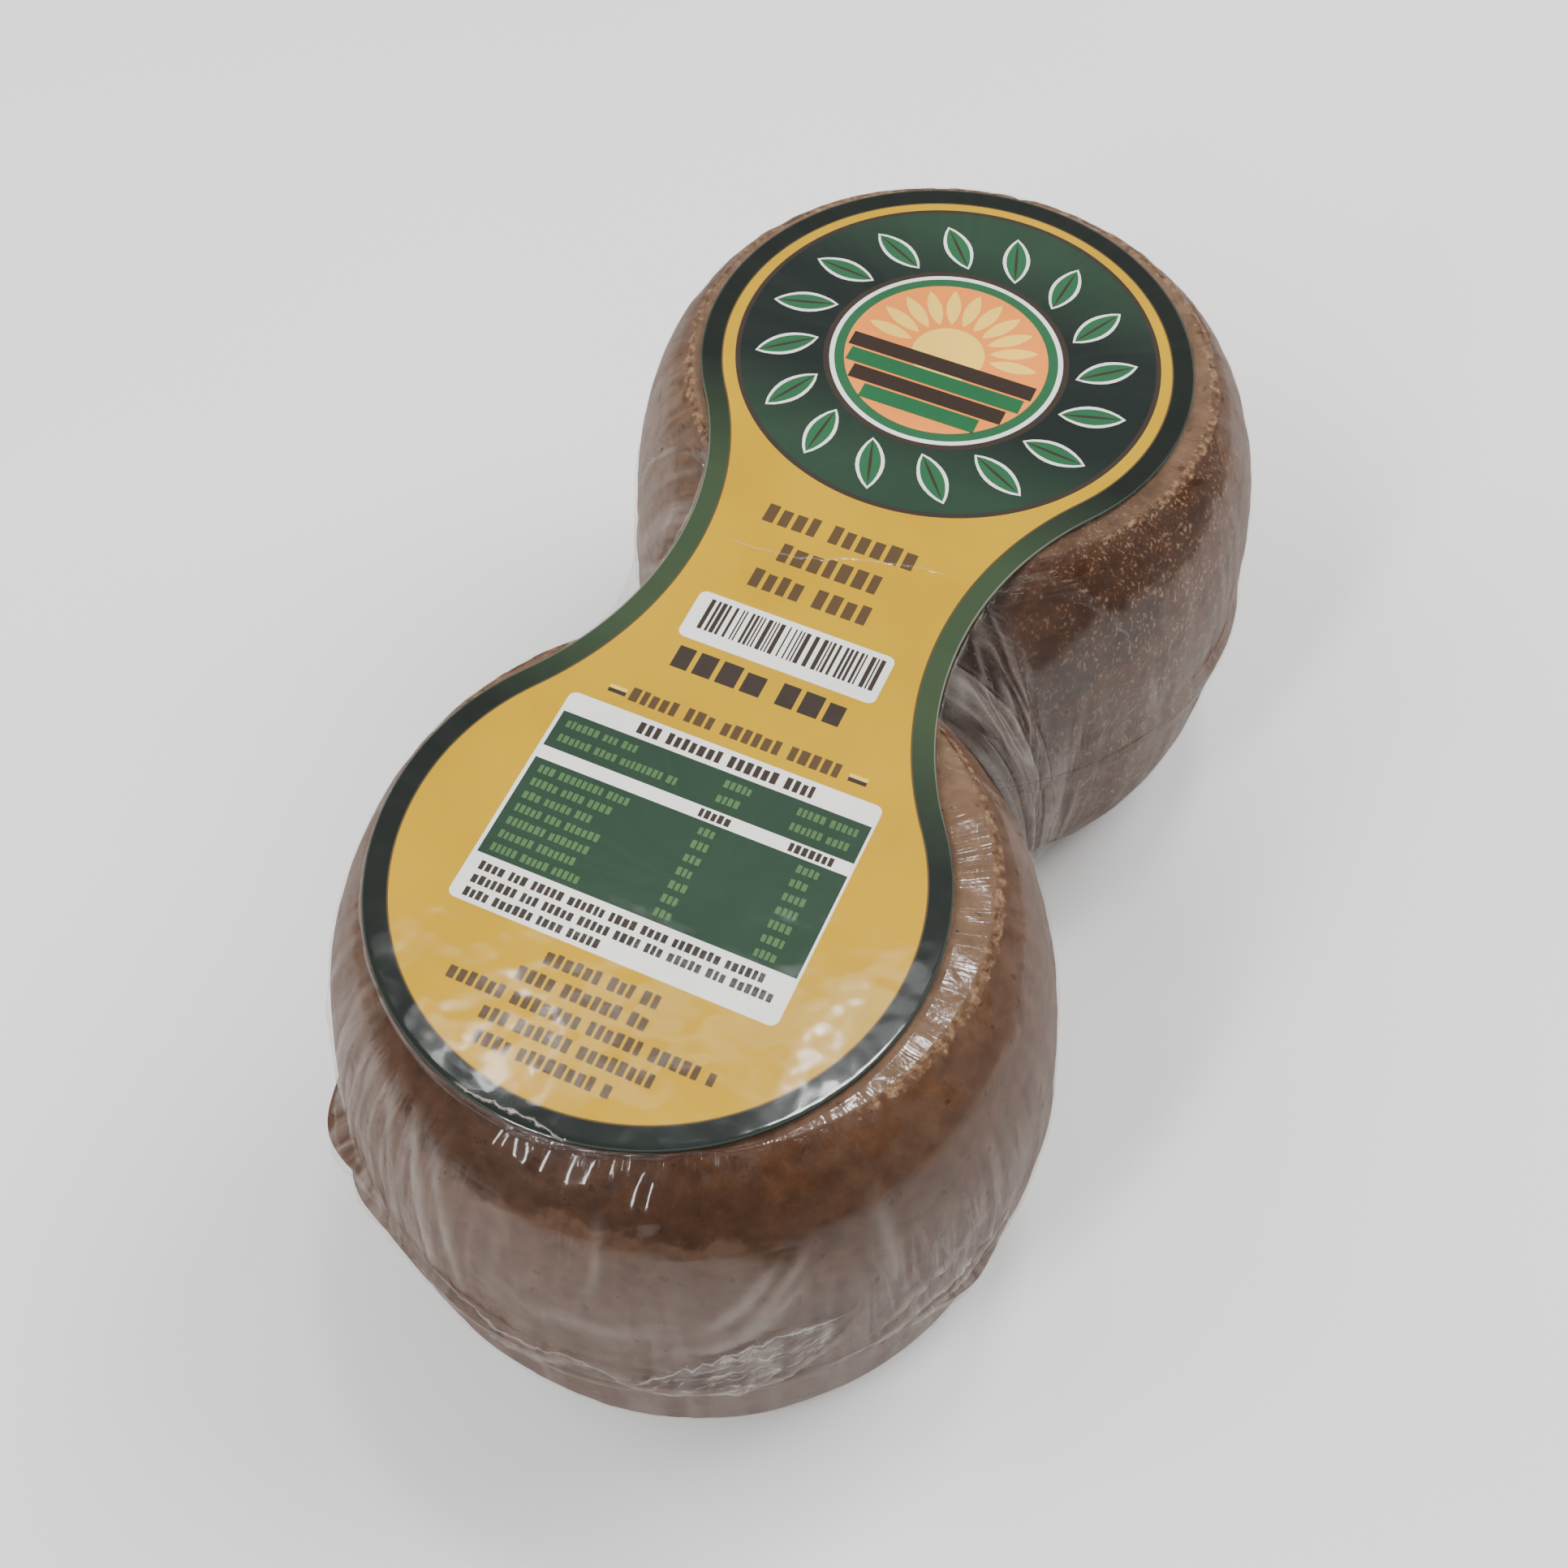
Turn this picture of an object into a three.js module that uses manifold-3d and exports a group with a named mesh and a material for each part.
// A shrink-wrapped pack of round panela: four moulded half blocks of brown cane sugar, stacked as
// two round blocks with their poured faces together, a peanut-shaped card label across both tops,
// and the web of clear film that spans the waist between the blocks.
// Millimetres, +Z up, +Y along the pack. The origin is on the surface that the pack rests on,
// below the middle of the pack.
import * as THREE from "three";
import { mergeVertices } from "three/addons/utils/BufferGeometryUtils.js";
import Module from "manifold-3d";

// Block, a round with a flat mould face above and below and its widest girth at the joint
const GIRTH_RADIUS = 33.9;
const GIRTH_OVALNESS = 0.985; // the blocks are this much narrower along the pack than across it
const FLAT_RADIUS = 27.1;
const UPPER_HEIGHT = 26.9;
const LOWER_HEIGHT = 23.9;
const UPPER_FULLNESS = 2.1; // 2 is an elliptic side, more is squarer
const LOWER_FULLNESS = 2.45;
const JOINT_GAP = 0.3; // between the two poured faces

// Lip, the uneven overhang that each half has round its poured face
const LIP_REACH = 0.7;
const LIP_CREST = 1.1; // height of the crest over the poured face
const LIP_NECK = 2.6; // height where the lip has run out into the side
const LIP_SMOOTH_SHARE = 0.6; // the rest of the lip comes and goes round the block
const LIP_BUMPS = 7; // bumps round the lip, in a slower beat of LIP_BEATS
const LIP_BEATS = 4;
const FACE_INSET = 0.9; // the poured face ends this far inside the girth

// Unevenness of the moulded sides, and the pressed spot where each block meets the other
const SIDE_WAVE = 0.28;
const FLAT_WAVE_SHARE = 0.4; // share of the side's wave that is left at the mould face
const HALF_SHIFT = 0.35; // radians that a half's wave is turned from the joint's
const WAVES = [
  { count: 2, size: 0.5, shift: 1 },
  { count: 3, size: 0.3, shift: -1.7 },
  { count: 5, size: 0.2, shift: 2.3 },
];
const PRESS_DEPTH = 0.9;
const PRESS_SPREAD = 24; // degrees

// Places of the two blocks, measured from the label's middle. The upper mould face of each stands
// off the block's middle by its lean.
const FRONT_BLOCK = { x: 3.7, y: -35.3, lean: { x: -1.9, y: 3.5 }, wave: 0.6, grow: 1.0, faces: 90 };
const REAR_BLOCK = { x: 1.3, y: 32.1, lean: { x: -0.8, y: 1.7 }, wave: 2.9, grow: 1.006, faces: 270 };

// Spots where the sugar ran out thicker at the lip
const FLASHES = [
  { block: "front", half: "upper", angle: 221, width: 9, reach: 2.2 },
  { block: "front", half: "lower", angle: 229, width: 8, reach: 1.5 },
  { block: "front", half: "lower", angle: 341, width: 7, reach: 0.9 },
  { block: "front", half: "upper", angle: 262, width: 16, reach: 0.5 },
  { block: "rear", half: "upper", angle: 350, width: 12, reach: 0.6 },
];

// Label, two round lobes joined by a concave waist
const LOBE_RADIUS = 25.5;
const LOBE_SPACING = 67.9;
const WAIST_ARC_RADIUS = 33.8;
const LABEL_THICKNESS = 0.3;
const LABEL_GAP = 0.3; // between the mould faces and the card

// Film web, which bridges the waist between the blocks
const WEB_CLEARANCE = 0.4;
const WEB_BOTTOM = 1.0; // its underside hangs this far above the resting surface
const WEB_REACH_TOP = 14.4; // half length of the bridge at the label
const WEB_REACH_JOINT = 17; // half length of the bridge at the joint
const WEB_REACH_BOTTOM = 14; // half length of the bridge at its underside

// Facets
const BLOCK_SEGMENTS = 80;
const SIDE_STEPS = 9;
const CUTTER_SEGMENTS = 64;
const LOBE_SEGMENTS = 20;
const WEB_STEPS_ALONG = 18;
const WEB_STEPS_UP = 12;
const SAME_POINT = 1e-3; // points closer than this are one

const JOINT_HEIGHT = LOWER_HEIGHT + JOINT_GAP / 2;
const BLOCK_TOP = JOINT_HEIGHT + JOINT_GAP / 2 + UPPER_HEIGHT;
const HALVES = {
  upper: { side: 1, height: UPPER_HEIGHT, fullness: UPPER_FULLNESS, leanShare: 1 },
  lower: { side: -1, height: LOWER_HEIGHT, fullness: LOWER_FULLNESS, leanShare: 0 },
};
const BLOCKS = { front: FRONT_BLOCK, rear: REAR_BLOCK };

const SUGAR = new THREE.MeshStandardMaterial({ color: 0x6e4a35, roughness: 0.6 });
const CARD = new THREE.MeshStandardMaterial({ color: 0xdab23c, roughness: 0.35 });
const FILM = new THREE.MeshStandardMaterial({
  color: 0xe8e4e0,
  roughness: 0.12,
  transparent: true,
  opacity: 0.35,
});

const wasm = await Module();
wasm.setup();

// A slow wave round a block, between -1 and 1
function wave(angle, phase) {
  let sum = 0;
  for (const { count, size, shift } of WAVES) sum += size * Math.sin(count * angle + shift * phase);
  return sum;
}

// Height above the side's start, as a share of the half's height, against radius
function sideProfile(height, fullness) {
  const points = [];
  for (let step = 0; step <= SIDE_STEPS; step++) {
    const turn = ((Math.PI / 2) * step) / SIDE_STEPS;
    const out = Math.cos(turn) ** (2 / fullness);
    const up = Math.sin(turn) ** (2 / fullness);
    const radius = FLAT_RADIUS + (GIRTH_RADIUS - FLAT_RADIUS) * out;
    points.push(new THREE.Vector2(radius, LIP_NECK + (height - LIP_NECK) * up));
  }
  return points;
}

// Half section of one half block, from the middle of its poured face to the middle of its mould face
function halfSection(height, fullness, clearance) {
  const points = [
    new THREE.Vector2(0, -clearance),
    new THREE.Vector2(GIRTH_RADIUS - FACE_INSET + clearance, -clearance),
    new THREE.Vector2(GIRTH_RADIUS + clearance, LIP_CREST / 2),
    new THREE.Vector2(GIRTH_RADIUS + clearance, LIP_CREST),
  ];
  for (const point of sideProfile(height, fullness)) {
    const rise = point.y > height - SAME_POINT ? clearance : 0;
    points.push(new THREE.Vector2(point.x + clearance, point.y + rise));
  }
  points.push(new THREE.Vector2(0, height + clearance));
  return points;
}

// 1 at an angle in degrees, fading to 0 on both sides of it
function spot(angle, centreDegrees, spreadDegrees) {
  const away = angle - THREE.MathUtils.degToRad(centreDegrees);
  const apart = Math.atan2(Math.sin(away), Math.cos(away));
  return Math.exp(-((apart / THREE.MathUtils.degToRad(spreadDegrees)) ** 2));
}

// How far the lip stands out of the girth at one angle
function lipReach(angle, blockName, halfName) {
  const phase = BLOCKS[blockName].wave + HALVES[halfName].side;
  const ragged = Math.sin(LIP_BUMPS * angle + phase) * Math.sin(LIP_BEATS * angle - 2 * phase);
  let reach = LIP_REACH * (LIP_SMOOTH_SHARE + (1 - LIP_SMOOTH_SHARE) * ragged);
  for (const flash of FLASHES) {
    if (flash.block !== blockName || flash.half !== halfName) continue;
    reach += flash.reach * spot(angle, flash.angle, flash.width);
  }
  return reach * (1 - spot(angle, BLOCKS[blockName].faces, PRESS_SPREAD));
}

// The surface of one half block, standing on its joint plane, or hanging below it
function halfGeometry(blockName, halfName, segments, clearance = 0) {
  const { side, height, fullness, leanShare } = HALVES[halfName];
  const block = BLOCKS[blockName];
  let section = halfSection(height, fullness, clearance);
  if (side < 0) section = section.map((p) => new THREE.Vector2(p.x, -p.y)).reverse();
  const geometry = new THREE.LatheGeometry(section, segments);
  geometry.rotateX(Math.PI / 2);
  const place = geometry.attributes.position;
  for (let i = 0; i < place.count; i++) {
    const x = place.getX(i);
    const y = place.getY(i);
    const radius = Math.max(Math.hypot(x, y), SAME_POINT);
    const angle = Math.atan2(y, x);
    const up = Math.abs(place.getZ(i));
    const atSide = THREE.MathUtils.smoothstep(radius, FLAT_RADIUS - 1, GIRTH_RADIUS);
    const onLip = Math.max(0, 1 - Math.abs(up - LIP_CREST) / (LIP_NECK - LIP_CREST));
    const waveShare = FLAT_WAVE_SHARE + (1 - FLAT_WAVE_SHARE) * atSide;
    const waved = SIDE_WAVE * wave(angle, block.wave + HALF_SHIFT * side) * waveShare;
    const lipped = lipReach(angle, blockName, halfName) * onLip;
    const pressed = PRESS_DEPTH * spot(angle, block.faces, PRESS_SPREAD) * atSide;
    const scale = (block.grow * radius + waved + lipped - pressed) / radius;
    const inward = (GIRTH_RADIUS - radius) / (GIRTH_RADIUS - FLAT_RADIUS);
    const leaned = up > LIP_NECK ? leanShare * THREE.MathUtils.clamp(inward, 0, 1) : 0;
    place.setX(i, x * scale + block.lean.x * leaned);
    place.setY(i, y * scale * GIRTH_OVALNESS + block.lean.y * leaned);
  }
  return geometry;
}

function toManifold(geometry) {
  geometry.deleteAttribute("normal");
  geometry.deleteAttribute("uv");
  const merged = mergeVertices(geometry, SAME_POINT);
  const vertProperties = new Float32Array(merged.attributes.position.array);
  const triVerts = new Uint32Array(merged.index.array);
  return new wasm.Manifold(new wasm.Mesh({ numProp: 3, vertProperties, triVerts }));
}

function toGeometry(manifold) {
  const mesh = manifold.getMesh();
  const geometry = new THREE.BufferGeometry();
  geometry.setAttribute("position", new THREE.BufferAttribute(mesh.vertProperties, 3));
  geometry.setIndex(new THREE.BufferAttribute(mesh.triVerts, 1));
  geometry.computeVertexNormals();
  return geometry;
}

function halfBlock(blockName, halfName) {
  const mesh = new THREE.Mesh(halfGeometry(blockName, halfName, BLOCK_SEGMENTS), SUGAR);
  mesh.name = `${blockName}_block_${halfName}`;
  const { x, y } = BLOCKS[blockName];
  mesh.position.set(x, y, JOINT_HEIGHT + (HALVES[halfName].side * JOINT_GAP) / 2);
  return mesh;
}

// Outline of the label: round the rear lobe, in along one waist arc, round the front lobe and back
function labelOutline() {
  const reach = LOBE_RADIUS + WAIST_ARC_RADIUS;
  const lobeY = LOBE_SPACING / 2;
  const arcX = Math.sqrt(reach ** 2 - lobeY ** 2);
  const turn = Math.atan2(lobeY, arcX);
  const outline = new THREE.Shape();
  outline.absarc(0, lobeY, LOBE_RADIUS, -turn, Math.PI + turn, false);
  outline.absarc(-arcX, 0, WAIST_ARC_RADIUS, turn, -turn, true);
  outline.absarc(0, -lobeY, LOBE_RADIUS, Math.PI - turn, 2 * Math.PI + turn, false);
  outline.absarc(arcX, 0, WAIST_ARC_RADIUS, Math.PI + turn, Math.PI - turn, true);
  return outline;
}

function label() {
  const depth = LABEL_THICKNESS;
  const settings = { depth, bevelEnabled: false, curveSegments: LOBE_SEGMENTS };
  const mesh = new THREE.Mesh(new THREE.ExtrudeGeometry(labelOutline(), settings), CARD);
  mesh.name = "label_card";
  mesh.position.z = BLOCK_TOP + LABEL_GAP;
  return mesh;
}

// Radius of a block's side at a height over the resting surface
function sideRadius(z) {
  const { height, fullness } = z > JOINT_HEIGHT ? HALVES.upper : HALVES.lower;
  const up = Math.abs(z - JOINT_HEIGHT);
  const share = THREE.MathUtils.clamp((up - LIP_NECK) / (height - LIP_NECK), 0, 1);
  const out = (1 - share ** fullness) ** (1 / fullness);
  return FLAT_RADIUS + (GIRTH_RADIUS - FLAT_RADIUS) * out;
}

// Half length of the film's bridge at a height over the resting surface
function webReach(z) {
  const above = z > JOINT_HEIGHT;
  const end = above ? WEB_REACH_TOP : WEB_REACH_BOTTOM;
  const height = above ? BLOCK_TOP - JOINT_HEIGHT : JOINT_HEIGHT - WEB_BOTTOM;
  const share = Math.abs(z - JOINT_HEIGHT) / height;
  return end + (WEB_REACH_JOINT - end) * (1 - share ** 2);
}

// The film leaves each block along its side and sags in to a waist: a parabola at each height
function webGeometry() {
  const tall = BLOCK_TOP - WEB_BOTTOM;
  const geometry = new THREE.BoxGeometry(2, 2, tall, 1, WEB_STEPS_ALONG, WEB_STEPS_UP);
  geometry.translate(0, 0, WEB_BOTTOM + tall / 2);
  // across, the web lies half way between the middle of the label and the middle of the blocks
  const middle = {
    x: (FRONT_BLOCK.x + REAR_BLOCK.x) / 4,
    y: (FRONT_BLOCK.y + REAR_BLOCK.y) / 2,
  };
  const halfSpacing = (REAR_BLOCK.y - FRONT_BLOCK.y) / 2;
  const place = geometry.attributes.position;
  for (let i = 0; i < place.count; i++) {
    const z = place.getZ(i);
    const reach = webReach(z);
    const back = halfSpacing - reach;
    const leaveX = Math.sqrt(sideRadius(z) ** 2 - back ** 2);
    const bend = back / (2 * reach * leaveX);
    const along = place.getY(i) * reach;
    const across = leaveX - bend * (reach ** 2 - along ** 2);
    place.setXY(i, middle.x + Math.sign(place.getX(i)) * across, middle.y + along);
  }
  return geometry;
}

function filmWeb() {
  let web = toManifold(webGeometry());
  for (const [blockName, block] of Object.entries(BLOCKS)) {
    for (const [halfName, half] of Object.entries(HALVES)) {
      const cutter = halfGeometry(blockName, halfName, CUTTER_SEGMENTS, WEB_CLEARANCE);
      cutter.translate(block.x, block.y, JOINT_HEIGHT + (half.side * JOINT_GAP) / 2);
      web = web.subtract(toManifold(cutter));
    }
  }
  const mesh = new THREE.Mesh(toGeometry(web), FILM);
  mesh.name = "film_web";
  return mesh;
}

const pack = new THREE.Group();
for (const blockName of Object.keys(BLOCKS)) {
  for (const halfName of Object.keys(HALVES)) pack.add(halfBlock(blockName, halfName));
}
pack.add(label(), filmWeb());

// The label's middle is off the pack's middle, so the whole pack moves over its origin
const bounds = new THREE.Box3().setFromObject(pack, true);
pack.position.x = -(bounds.min.x + bounds.max.x) / 2;
pack.position.y = -(bounds.min.y + bounds.max.y) / 2;

export default pack;
